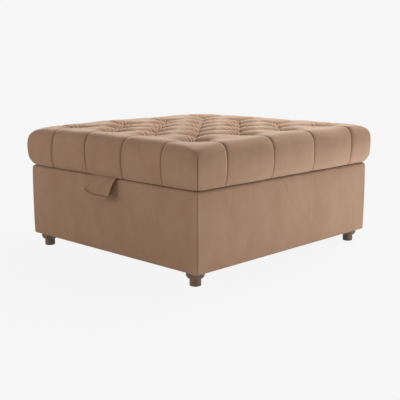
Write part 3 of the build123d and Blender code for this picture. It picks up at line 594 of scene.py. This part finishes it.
def makeCushion():
    # The top is a grid over the plan, its corners drawn round. Its edge carries on as rings that
    # follow the roll and the tuck of the lid's profile down to the underside and up the pocket.
    halfX, halfY = stool["halfWidth"] - cushion["inset"], stool["halfDepth"] - cushion["inset"]
    radius = cushion["topCorner"]
    columns = gradedLine(halfX, [*np.arange(-3, 4) * stool["tuftX"] / 2, -halfX, halfX])
    rows = gradedLine(halfY, [*np.arange(-3, 4) * stool["tuftY"] / 2, -halfY, halfY])
    topX, topY = roundedSquare(*np.meshgrid(columns, rows), halfX, halfY, radius)
    top = np.stack([topX, topY, np.full_like(topX, stool["crown"])], -1)
    depth, topSeamShade = tuftDepth(topX, topY)
    top[..., 2] -= depth + unevenness(topX, topY) + cornerDroop(topX, topY)

    edge = gridEdge(*topX.shape)
    edgeX, edgeY = topX.ravel()[edge], topY.ravel()[edge]
    centreX = np.clip(edgeX, radius - halfX, halfX - radius)
    centreY = np.clip(edgeY, radius - halfY, halfY - radius)
    faceX, faceY = (edgeX - centreX) / radius, (edgeY - centreY) / radius
    line, run, lean = [values[1:] for values in lidProfile()]
    out, height, run = line[:, :1], line[:, 1:], run[:, None]
    level = (stool["crown"] - height) / (stool["crown"] - cushion["footZ"])

    def byLevel(table):
        return np.interp(level, *cushion[table])

    quadrant = (edgeX > 0).astype(int), (edgeY > 0).astype(int)
    corner = byLevel("cornerRadius") + np.array(cushion["cornerWiden"])[quadrant] * byLevel("widenShares")
    # toward a corner, the roll can be squarer than along the sides
    toCorner = np.minimum(np.abs(edgeX) / halfX, np.abs(edgeY) / halfY)
    squared = np.array(cushion["cornerSquare"])[quadrant] * eased(toCorner, *cushion["squareShares"])
    rise = progress(height, cushion["fullestZ"], stool["crown"])
    plain, square = cushion["rollPower"], cushion["squarePower"]
    further = (1 - rise**square) ** (1 / square) - (1 - rise**plain) ** (1 / plain)
    out = out + squared * (cushion["inset"] + cushion["overhang"]) * further

    # Each column keeps its place along its side up to the last seam. From there to the corner's
    # middle, the way that is left at this level is shared out as it was at the top's edge.
    isSide = np.abs(faceX) > np.abs(faceY)
    halfAlong, halfOut = np.where(isSide, halfY, halfX), np.where(isSide, halfX, halfY)
    held = np.where(isSide, *cushion["heldTo"])
    faces = np.sort(np.abs([faceX, faceY]), axis=0)
    bend = np.arctan2(faces[0], faces[1])
    place = np.where(isSide, np.abs(edgeY), np.abs(edgeX))
    place = np.where(bend > 0, halfAlong - radius + radius * bend, place)
    topTotal = halfAlong - radius + radius * math.pi / 4
    reach = halfAlong + out - corner
    total = reach + corner * math.pi / 4
    left = (1 - progress(place, held, topTotal)) ** byLevel("crowdPower")
    place = np.where(place > held, held + (1 - left) * (total - held), place + 0 * reach)
    turn = np.clip((place - reach) / corner, 0, math.pi / 4)
    signX, signY = np.sign(edgeX), np.sign(edgeY)

    def laid(beyond):
        # x and y of the columns, a distance beyond the middle of each corner's curve
        along = np.minimum(place, reach) + beyond * np.sin(turn)
        away = halfOut + out - corner + beyond * np.cos(turn)
        return signX * np.where(isSide, away, along), signY * np.where(isSide, along, away)

    realX, realY = laid(corner)
    sideShare = eased(level, 0, cushion["flatEnd"])
    openX, openY = edgeX + faceX * run, edgeY + faceY * run
    openX += sideShare * (np.where(isSide, signX * (halfX + run), realX) - openX)
    openY += sideShare * (np.where(isSide, realY, signY * (halfY + run)) - openY)
    depth, ringSeamShade = tuftDepth(openX, openY)
    swell = byLevel("panelShares") * panelSwell(realX, realY, isSide[None, :])
    cornerSeam = byLevel("cornerSeamShares") * ridge(total - place, cushion["cornerSeamWidth"])
    # the corner seam's line also gets painted shade
    ringSeamShade = np.maximum(ringSeamShade, cushion["cornerSeamShade"] * cornerSeam)
    drawn = depth + unevenness(openX, openY) - cushion["panelCrown"] * swell
    drawn = drawn + cushion["cornerSeamDepth"] * cornerSeam
    push = -drawn * byLevel("pushShares")
    droop = cornerDroop(edgeX, edgeY) * (1 - progress(level, 0, cushion["droopEnd"]))
    rings = np.stack([*laid(corner + push * lean[:, :1]), height + push * lean[:, 1:] - droop], -1)
    pocket = rings[-1].copy()
    pocket[:, 2] = cushion["pocketZ"]
    points = joined(top, rings, pocket, (0, 0, cushion["pocketZ"]))

    strips = np.concatenate([edge, topX.size + np.arange(len(edge) * (len(rings) + 1))])
    strips = strips.reshape(-1, len(edge))
    quads = np.concatenate([gridFaces(*topX.shape), ringFaces(strips)])
    fan = fanFaces(strips[-1], len(points) - 1)
    bare = np.zeros(len(edge) + 1)
    # the seam attribute here is painted shade along the slits, pleats and corner seams
    seam = cushion["seamShadeShare"] * np.concatenate([topSeamShade.ravel(), ringSeamShade.ravel(), bare])
    pressed = points[:, 2] < cushion["footZ"] + cushion["pressedRise"]

    def paintedShare(share, *spans):
        ways = [progress(points[:, axis], *span) for axis, span in zip((0, 2, 1), spans)]
        return share * np.prod(ways, axis=0)

    # painted light on the right side of the lid, more so low down and toward the back, and painted
    # shade higher up
    paler = paintedShare(*cushion["paler"])
    seam = np.maximum(seam, paintedShare(*cushion["paintedShade"]))
    piece = makePiece("lidCushion", points, quads, fan, seam=seam, pressed=pressed, paler=paler)
    print("lid cushion", len(points), "points")
    return piece


lidCushion = makeCushion()
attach(lidCushion, "lid")
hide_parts("lid_cushion")

# Buttons on the floors of the tufts, covered in the same fabric.
buttons = {"radius": 10.5, "foot": 403.8, "height": 5.8, "power": 1.5, "around": 28, "steps": 11}


def makeButtons():
    # Each is a squared-off dome: its radius is a root of the cosine of a half turn and its height
    # the sine. The line is carried once round Z, and a fan closes it at the foot and at the top.
    around, foot = buttons["around"], buttons["foot"]
    turn = np.linspace(-math.pi / 2, math.pi / 2, buttons["steps"])[1:-1, None]
    angle = np.linspace(0, 2 * math.pi, around, endpoint=False)
    radius = buttons["radius"] * np.cos(turn) ** (1 / buttons["power"])
    height = foot + buttons["height"] * (1 + np.sin(turn)) / 2 + 0 * angle
    wall = np.stack([radius * np.cos(angle), radius * np.sin(angle), height], -1)
    points = joined(wall, (0, 0, foot), (0, 0, foot + buttons["height"]))
    quads, first, count = gridFaces(len(turn), around, True), np.arange(around), height.size
    fans = np.concatenate([fanFaces(first, count), fanFaces(first[::-1] + count - around, count + 1)])
    places = [(x, y, 0) for x, y in buttonPlaces()]
    copies = np.arange(len(places))[:, None, None] * len(points)
    points = joined(*[points + place for place in places])
    return makePiece("coveredButtons", points, (quads + copies).reshape(-1, 4), fans + copies)


coveredButtons = makeButtons()
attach(coveredButtons, "lid")
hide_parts("top_buttons")
print("buttons")

# Pull tab: a doubled strap that comes out under the lid, hangs clear of the box and curls up a
# little at its left corner.
tab = {
    "halfWidth": 60.0,
    "thickness": 2.4,
    "hemThickness": 4.4,
    "hem": 11.0,
    "hemStep": 0.5,
    "stitchLines": (9.0, 12.2),  # up from the lower edge
    "stitchPitch": 4.2,
    "stitchDepth": 0.6,
    "stitchWidth": 1.1,
    "stitchPull": (0.6, 0.4),  # all along, and more at each stitch
    "stitchShade": 0.8,
    "edgePower": 40,
    "footRound": 1.6,
    "thinnest": 0.04,
    "rightEdge": (
        # out from the middle of the box, and height
        (-459.9, 309.8), (-463.5, 308.7), (-470.5, 303.2), (-479.5, 292.5),
        (-487.0, 281.5), (-492.5, 270.5), (-497.0, 259.5), (-502.5, 250.0),
        (-509.5, 242.5),
    ),
    "leftEdge": (
        (-459.9, 309.8), (-463.5, 308.5), (-471.0, 300.0), (-478.0, 288.0),
        (-489.0, 278.5), (-499.5, 271.5), (-506.5, 264.0), (-510.5, 257.0),
    ),
    "bendFrom": -5.0,
    "spacing": 1.0,
    "smoothReach": 4,
    "smoothRounds": 3,
    "across": 81,
    "edgeCrowding": 0.35,
}


def smoothed(corners):
    # the corners are rounded off by averaging along the line, its two ends kept
    line = evenly(np.asarray(corners), tab["spacing"])[0]
    reach = tab["smoothReach"]
    weight = np.ones(2 * reach + 1) / (2 * reach + 1)
    for _ in range(tab["smoothRounds"]):
        before, after = 2 * line[:1] - line[reach:0:-1], 2 * line[-1:] - line[-2 : -reach - 2 : -1]
        padded = np.concatenate([before, line, after])
        line = np.stack([np.convolve(column, weight, "valid") for column in padded.T], 1)
    return line


def makeTab():
    # The middle surface blends from the right edge's line to the left edge's with the square of the
    # way past the bend. Half the thickness is laid off on both sides of it, thicker in the hem.
    lines = [smoothed(tab["rightEdge"]), smoothed(tab["leftEdge"])]
    share = np.linspace(0, 1, len(lines[0]))
    right, left = [
        np.stack([np.interp(share, np.linspace(0, 1, len(line)), column) for column in line.T], 1)
        for line in lines
    ]
    half = tab["halfWidth"]
    wave = np.linspace(-1, 1, tab["across"])
    place = half * (tab["edgeCrowding"] * np.sin(wave * math.pi / 2) + (1 - tab["edgeCrowding"]) * wave)
    lean = progress(place, tab["bendFrom"], -half)[None, :, None] ** 2
    middle = right[:, None] * (1 - lean) + left[:, None] * lean
    surface = np.concatenate([np.broadcast_to(place[None, :, None], (*middle.shape[:2], 1)), middle], -1)
    down, sideways = np.gradient(surface, axis=0), np.gradient(surface, axis=1)
    facing = np.cross(sideways, down)
    facing /= np.linalg.norm(facing, axis=-1)[..., None]
    run = np.cumsum(np.linalg.norm(down, axis=-1), axis=0)
    up = (run[-1] - run)[..., None]
    hem = 1 / (1 + np.exp((up - tab["hem"]) / tab["hemStep"]))
    thick = tab["thickness"] + (tab["hemThickness"] - tab["thickness"]) * hem
    even, more = tab["stitchPull"]
    pull = (even + more * np.cos(2 * math.pi * place / tab["stitchPitch"]))[None, :, None]
    lines = [ridge(up - level, tab["stitchWidth"]) for level in tab["stitchLines"]]
    stitched = pull * np.max(lines, axis=0)
    thick = thick - 2 * tab["stitchDepth"] * stitched
    edge = (1 - np.abs(place / half) ** tab["edgePower"])[None, :, None]
    foot = progress(up, 0, tab["footRound"])
    for rounding in (edge, foot * (2 - foot)):
        thick = thick * np.sqrt(np.clip(rounding, tab["thinnest"], 1))
    points = joined(surface + facing * thick / 2, surface - facing * thick / 2)
    size = surface.shape[:2]
    front, rim, behind = gridFaces(*size), gridEdge(*size), size[0] * size[1]
    quads = np.concatenate([front, front[:, ::-1] + behind, ringFaces(np.stack([rim, rim + behind]))])
    # painted shade along the stitch lines, on both faces of the tab
    seam = np.tile(tab["stitchShade"] * stitched.ravel(), 2)
    return makePiece("pullTab", points, quads, seam=seam), float(run[-1].mean())


pullTab, tabLength = makeTab()
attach(pullTab, "pull_tab")
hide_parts("pull_tab")
print("pull tab", round(tabLength, 1), "mm long")

# Box covers: the same fabric pulled over each wall, folded in at the rim and under the bottom.
boxCover = {
    "corner": 3.6,
    "cornerLeast": 0.4,
    "cornerSteps": 7,
    "rimRadius": 12.0,
    "rimEdge": 1.0,
    "footRadius": 3.5,
    "thickness": 3.0,
    "footThickness": 2.0,
    "rimInset": 22.5,
    "underInset": 21.0,
    "puff": 3.2,
    "puffPower": 0.5,
    "puffLoss": 0.3,  # share, toward the corners
    "lossPower": 6,
    "waves": (420, 260, 170),
    "waveHeight": 0.35,
    "waveLean": 90.0,
    "seed": 7,  # times the letters of the side's name
    "tightShares": (1 / 8, 9 / 10),  # of the height, where the cover lies close
    "seamDepth": 1.8,
    "seamWidth": 1.5,
    "seamShade": 0.27,
    "pressedFrom": 6.0,  # under the rim
    "pressedOver": 5.0,
    "loopSpacing": 3.0,
    "spacing": 4.0,
    "creaseWidth": 5.0,
    "foldShare": 0.6,  # of a crease's depth, stood up beside it
    "foldAway": 11.0,
    "foldWidth": 7.0,
    "creases": (
        # side, middle along it, middle height, run along, run up, depth
        ("right", -18.0, 234.0, 30.0, -67.0, 0.9),
        ("right", -34.0, 262.0, 8.0, -50.0, 0.7),
        ("right", 212.0, 250.0, -26.0, -60.0, 0.25),
        ("front", -150.0, 236.0, -34.0, -72.0, 0.25),
        ("front", 236.0, 250.0, 20.0, -52.0, 0.25),
        ("left", 120.0, 240.0, 30.0, -66.0, 0.6),
        ("back", -40.0, 240.0, -30.0, -70.0, 0.6),
    ),
}


def coverLoop():
    # the fold seen end on: out over the rim, down the wall, under it, and back inside itself
    rim, foot, skin, edge = [boxCover[name] for name in ("rimRadius", "footRadius", "thickness", "rimEdge")]
    top, bottom = stool["rim"], stool["boxFoot"]
    inset, under = -boxCover["rimInset"], -boxCover["underInset"]
    lining = bottom + boxCover["footThickness"]
    over, up = np.identity(2)
    outer = [
        [(inset, top - skin), (inset, top - edge), (inset + edge, top)],
        quarterArc((-rim, top - rim), rim * up, rim * over),
        quarterArc((-foot, bottom + foot), foot * over, -foot * up),
        [(under, bottom)],
    ]
    inner = [
        [(under, lining), (-skin, lining), (-skin, top - rim)],
        quarterArc((-rim, top - rim), (rim - skin) * over, (rim - skin) * up)[1:],
    ]
    return evenly(np.concatenate(outer), boxCover["loopSpacing"])[0], np.concatenate(inner)


def makeCover(name, turn, half, depth):
    # The loop is carried along one side of the box, from mitre to mitre, round half of each corner.
    # It stands off by half a sine of the height and three slow waves, less the creases and seams.
    outside, inside = coverLoop()
    loop = np.concatenate([outside, inside])
    facing = np.concatenate([facings(outside), np.zeros_like(inside)])
    steps, count = boxCover["cornerSteps"], int(2 * half / boxCover["spacing"])
    arc = np.linspace(-math.pi / 4, 0, steps)
    angle = np.concatenate([arc, np.zeros(count - 1), -arc[::-1]])
    corners = np.ones(steps)
    share = np.concatenate([-corners, np.linspace(-1, 1, count + 1)[1:-1], corners])
    out, height = loop[:, 0][:, None], loop[:, 1][:, None]
    corner = np.maximum(boxCover["corner"] + out, boxCover["cornerLeast"])
    along = share * (half + out - corner) + corner * np.sin(angle)
    away = depth + out - corner + corner * np.cos(angle)
    rise = (height - stool["boxFoot"]) / (stool["rim"] - stool["boxFoot"])
    puff = boxCover["puff"] * np.sin(math.pi * np.clip(rise, 0, 1)) ** boxCover["puffPower"]
    puff = puff * (1 - boxCover["puffLoss"] * np.abs(share) ** boxCover["lossPower"])
    rng = np.random.default_rng(len(name) * boxCover["seed"])
    for length in boxCover["waves"]:
        phase = 2 * math.pi * (along + rng.uniform(0, length)) / length + height / boxCover["waveLean"]
        puff = puff + boxCover["waveHeight"] * np.sin(phase)
    for side, middle, level, runAlong, runUp, deep in boxCover["creases"]:
        if side == name:
            start, end = [(middle + way * runAlong / 2, level + way * runUp / 2) for way in (-1, 1)]
            beside = segmentDistance(along, height + 0 * along, start, end)
            fold = boxCover["foldShare"] * ridge(beside - boxCover["foldAway"], boxCover["foldWidth"])
            puff = puff + deep * (fold - ridge(beside, boxCover["creaseWidth"]))
    tightLow, tightHigh = boxCover["tightShares"]
    puff = puff * progress(rise, 0, tightLow) * progress(rise, 1, tightHigh)
    outer = (np.hypot(*facing.T) > 0)[:, None]
    sewn = ridge((np.abs(angle) - math.pi / 4) * boxCover["corner"], boxCover["seamWidth"])
    sewn = sewn * (np.abs(share) == 1) * outer
    push = puff * outer - boxCover["seamDepth"] * sewn
    along = along + push * facing[:, :1] * np.sin(angle)
    away = away + push * facing[:, :1] * np.cos(angle)
    height = height + push * facing[:, 1:]
    cosine, sine = math.cos(turn), math.sin(turn)
    points = np.stack([cosine * along + sine * away, sine * along - cosine * away, height], -1)

    # a row past the last is the first again, which closes the loop; a fan closes each end
    rows, columns = along.shape
    count = rows * columns
    quads = gridFaces(rows + 1, columns) % count
    middles = np.stack([points[:, 0].mean(0), points[:, -1].mean(0)])
    ring = np.arange(rows) * columns
    caps = np.concatenate([fanFaces(ring, count), fanFaces(ring[::-1] + columns - 1, count + 1)])
    under = stool["rim"] - boxCover["pressedFrom"]
    pressed = progress(height, under, under + boxCover["pressedOver"])
    # the mitre seams are painted in shade
    shares = {"seam": boxCover["seamShade"] * sewn, "pressed": pressed}
    return makePiece(name + "Cover", joined(points, middles), quads[:, ::-1], caps, **shares)


for name, quarter, half, depth in (
    ("front", 0, "halfWidth", "halfDepth"),
    ("right", 1, "halfDepth", "halfWidth"),
    ("back", 2, "halfWidth", "halfDepth"),
    ("left", 3, "halfDepth", "halfWidth"),
):
    cover = makeCover(name, quarter * math.pi / 2, stool[half], stool[depth])
    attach(cover, "root")
    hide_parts(name + "_cover")
    print("cover", name)

# Linings: thin cloth over the inside of the box, the lid's underside and the box's underside, and
# the strip of cover fabric that holds the tab.
linings = {
    "storage": ((409.5, 438.5), (91.0, 304.0), 1.5, 1.1),  # half widths, levels, thickness, slack
    "storageCells": (68, 72, 18),  # across, from front to back, and up
    "storageReach": 40.0,  # from an edge, where the slack is all there
    "storageRise": 0.6,  # of the height, which the waves on the walls are read at
    "storageSeeds": (5, 9),  # floor and walls
    "flat": (
        # name, node, finish, middle y, half widths, low, high, slack, spacing
        ("lidUnderlining", "lid_underlining", "dust_fabric", 0.0, (417.0, 446.0), (311.0, 312.0), 0.6, 9.0),
        ("dustCloth", "dust_cover", "dust_fabric", 0.0, (418.0, 447.0), (46.0, 47.0), 0.6, 9.0),
        ("tabStrip", "tab_anchor", "cover_fabric", -439.25, (60.0, 19.25), (308.6, 311.0), 0.5, 3.0),
    ),
    "flatReach": 12.0,
    "waves": (310.0, 187.0, 96.0),
    "pleatLength": 46.0,
    "pleatReach": 30.0,
    "pleatShare": 0.4,
}


def slack(first, second, seed):
    # three slow waves that cross each other, from 0 to 1
    rng = np.random.default_rng(seed)
    total = 0
    for length in linings["waves"]:
        turn, start = rng.uniform(-0.5, 0.5), rng.uniform(0, 2 * math.pi)
        along = first * math.cos(turn) + second * math.sin(turn)
        total = total + np.sin(2 * math.pi * along / length + start)
    return 0.5 + total / (2 * len(linings["waves"]))


def clothGrid(half, cells):
    # the places of a flat cloth, and how far inside its edge each is
    x, y = [np.linspace(-reach, reach, count + 1) for reach, count in zip(half, cells)]
    flatX, flatY = np.meshgrid(x, y)
    return flatX, flatY, np.minimum(half[0] - np.abs(flatX), half[1] - np.abs(flatY))


def makeFlatLining(name, finish, middle, half, levels, loose, spacing):
    # Two grids one above the other, joined round their edge. The lower one rises from its level by
    # the slow waves, and by short pleats at the edge where the staples pull it.
    flatX, flatY, inside = clothGrid(half, [int(2 * reach / spacing) for reach in half])
    pleats = 0.5 - 0.5 * np.cos(2 * math.pi * (flatX + flatY) / linings["pleatLength"])
    pleats = pleats * ridge(inside, linings["pleatReach"], 1)
    share = linings["pleatShare"]
    rise = (1 - share) * slack(flatX, flatY, len(name)) + share * pleats
    rise = loose * rise * progress(inside, 0, linings["flatReach"])
    heights = np.full_like(flatX, levels[1]), levels[0] + rise
    points = joined(*[np.stack([flatX, flatY + middle, height], -1) for height in heights])
    cells, edge = gridFaces(*flatX.shape), gridEdge(*flatX.shape)
    sides = ringFaces(np.stack([edge, edge + flatX.size]))
    quads = np.concatenate([cells, cells[:, ::-1] + flatX.size, sides])
    bare = np.zeros(1)
    return makePiece(name, points, quads, (), finish, seam=bare, pressed=bare, paler=bare)


def makeStorageLining(half, levels, thickness, loose):
    # The face that shows is a grid over the floor whose edge carries on up the walls and over their
    # top, then down behind to a flat back. The waves lift it off the board and the walls.
    (halfX, halfY), (low, high), floor = half, levels, levels[0] + thickness
    *cells, up = linings["storageCells"]
    floorSeed, wallSeed = linings["storageSeeds"]
    flatX, flatY, inside = clothGrid(half, cells)
    inside = progress(inside, 0, linings["storageReach"])
    bottom = np.stack([flatX, flatY, floor + loose * inside * slack(flatX, flatY, floorSeed)], -1)
    edge = gridEdge(*flatX.shape)
    edgeX, edgeY = flatX.ravel()[edge], flatY.ravel()[edge]
    onX, onY = np.isclose(np.abs(edgeX), halfX), np.isclose(np.abs(edgeY), halfY)
    height = np.linspace(floor, high, up + 1)[1:, None]
    toCorner = np.where(onX, halfY - np.abs(edgeY), halfX - np.abs(edgeX))
    free = np.sin(math.pi * progress(height, floor, high)) * progress(toCorner, 0, linings["storageReach"])
    lift = slack(np.where(onX, edgeY, edgeX), linings["storageRise"] * height, wallSeed)
    lift = loose * free * lift
    inner = [edgeX - np.sign(edgeX) * lift * onX, edgeY - np.sign(edgeY) * lift * onY, height]
    inner = np.stack(np.broadcast_arrays(*inner), -1)
    wide = np.stack([edgeX * (halfX + thickness) / halfX, edgeY * (halfY + thickness) / halfY], -1)
    outer = [np.column_stack([wide, np.full(len(edge), level)]) for level in (high, low)]
    points = joined(bottom, inner, *outer, (0, 0, low))
    strips = np.concatenate([edge, flatX.size + np.arange(len(edge) * (up + 2))]).reshape(-1, len(edge))
    quads = np.concatenate([gridFaces(*flatX.shape), ringFaces(strips)])
    fan = fanFaces(strips[-1], len(points) - 1)
    return makePiece("boxLining", points, quads, fan, "lining_fabric")


boxLining = makeStorageLining(*linings["storage"])
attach(boxLining, "root")
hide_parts("storage_lining")
for name, node, finish, middle, half, levels, loose, spacing in linings["flat"]:
    cloth = makeFlatLining(name, finish, middle, half, levels, loose, spacing)
    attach(cloth, "root" if node == "dust_cover" else "lid")
    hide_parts(node)
print("linings")

# The CAD nodes of wood, metal, plastic, foam and twine keep their shape and get their finish here.
for part in frame["record"]["subparts"]:
    node, slotName = part["node"], part["material_slot"]
    if slotName not in ("cover_fabric", "lining_fabric", "dust_fabric"):
        materials = frame["nodes"][node].data.materials
        materials.clear()
        # the stays' sliders are shown as nylon
        materials.append(finishes["nylon" if node.startswith("stay_slider") else slotName])

# Floor, lamps and camera.
studio = {
    "background": linear(246, 246, 246),
    "floorReach": 8000.0,  # millimetres
    "floorBounce": (0.85, 0.84, 0.83, 1.0),
    "floorShown": (0.9, 0.9, 0.9, 1.0),
    "floorShade": (0.55, 1.3, 0.975),  # metres from the middle where it starts and ends, and glow
    "worldLight": linear(247, 247, 248),
    "worldStrength": (0.76, 0.32),  # at the horizon and straight up
    "lamps": (
        # name, place, aim, size, watts, colour
        ("keyRight", (1.25, 0.25, 0.06), (0.43, 0.0, 0.4), (1.2, 0.1), 3.6, (0.8, 0.92, 1.0)),
        ("back", (0.2, 2.15, 2.3), (0, 0, 0.4), (1.5, 1.5), 132.0, (0.88, 0.95, 1.0)),
        ("frontFill", (-1.4, -4.2, 0.9), (0, 0, 0.3), (2.4, 2.4), 34.0, (1.0, 0.98, 0.95)),
    ),
    "lens": 70.311,
    "sensor": 36.0,
    "cameraPlace": (2.03744, -2.09703, 0.71653),
    "cameraTurn": (79.352, 0.0, 44.0549),
}


def makeWorld(scene):
    # soft light all round, weaker from above, behind an even background that the camera sees
    scene.world = bpy.data.worlds.new("studioWorld")
    scene.world.use_nodes = True
    sky = Nodes(scene.world.node_tree)
    light = sky.tree.nodes["Background"]
    way = sky.node("SeparateXYZ", {0: sky.node("TexCoord").outputs["Generated"]})
    level, above = studio["worldStrength"]
    fall = sky.node("MapRange", {"Value": way.outputs["Z"], "To Min": level, "To Max": above})
    sky.feed(light.inputs["Color"], studio["worldLight"])
    sky.feed(light.inputs["Strength"], fall.outputs["Result"])
    shown = sky.node("Background", {"Color": studio["background"]})
    path = sky.node("LightPath").outputs
    seen = sky.maths("ADD", path["Is Camera Ray"], path["Is Glossy Ray"])
    seen = sky.maths("ADD", seen, path["Is Transmission Ray"], True)
    choose = sky.node("MixShader", {0: seen, 1: light.outputs[0], 2: shown.outputs[0]})
    sky.feed(sky.tree.nodes["World Output"].inputs[0], choose.outputs[0])


def makeFloor():
    # a flat floor that glows as the background does but for a trace of shade
    paper = Finish("floorPaper", 0.9, Specular_IOR_Level=0.1)
    path = paper.node("LightPath").outputs
    paper.colour(paper.mix(path["Is Camera Ray"], studio["floorBounce"], studio["floorShown"]))
    away = paper.node("VectorMath", {0: paper.place}, operation="LENGTH").outputs["Value"]
    near, far, least = studio["floorShade"]
    share = paper.node("MapRange", {"Value": away, "From Min": near, "From Max": far, "To Min": least})
    seen = paper.maths("ADD", path["Is Camera Ray"], path["Is Glossy Ray"])
    seen = paper.maths("MULTIPLY", seen, share.outputs["Result"], True)
    glow = paper.node("Emission", {"Color": studio["background"]})
    mixed = paper.node("MixShader", {0: seen, 1: paper.shader.outputs[0], 2: glow.outputs[0]})
    paper.feed(paper.tree.nodes["Material Output"].inputs[0], mixed.outputs[0])
    finishes["floor"] = paper.material
    x, y = np.meshgrid(*[np.linspace(-studio["floorReach"], studio["floorReach"], 3)] * 2)
    corners = np.stack([x, y, 0 * x], -1).reshape(-1, 3)
    floor = makePiece("floor", corners, gridFaces(3, 3), finish="floor")


def makeLamps(scene):
    for name, place, aim, size, watts, colour in studio["lamps"]:
        lamp = bpy.data.lights.new(name, "AREA")
        lamp.color = colour
        lamp.shape = "RECTANGLE"
        lamp.size, lamp.size_y = size
        lamp.energy = watts
        holder = bpy.data.objects.new(name, lamp)
        holder.location = place
        holder.visible_camera = False
        holder.rotation_euler = (Vector(aim) - Vector(place)).to_track_quat("-Z", "Y").to_euler()
        scene.collection.objects.link(holder)


def makeCamera(scene):
    lens = bpy.data.cameras.new("camera")
    lens.lens = studio["lens"]
    lens.sensor_width = studio["sensor"]
    holder = bpy.data.objects.new("camera", lens)
    holder.location = studio["cameraPlace"]
    holder.rotation_euler = [math.radians(angle) for angle in studio["cameraTurn"]]
    scene.collection.objects.link(holder)
    scene.camera = holder


makeWorld(bpy.context.scene)
makeFloor()
makeLamps(bpy.context.scene)
makeCamera(bpy.context.scene)
bpy.context.scene.view_settings.view_transform = "Standard"
print("studio")
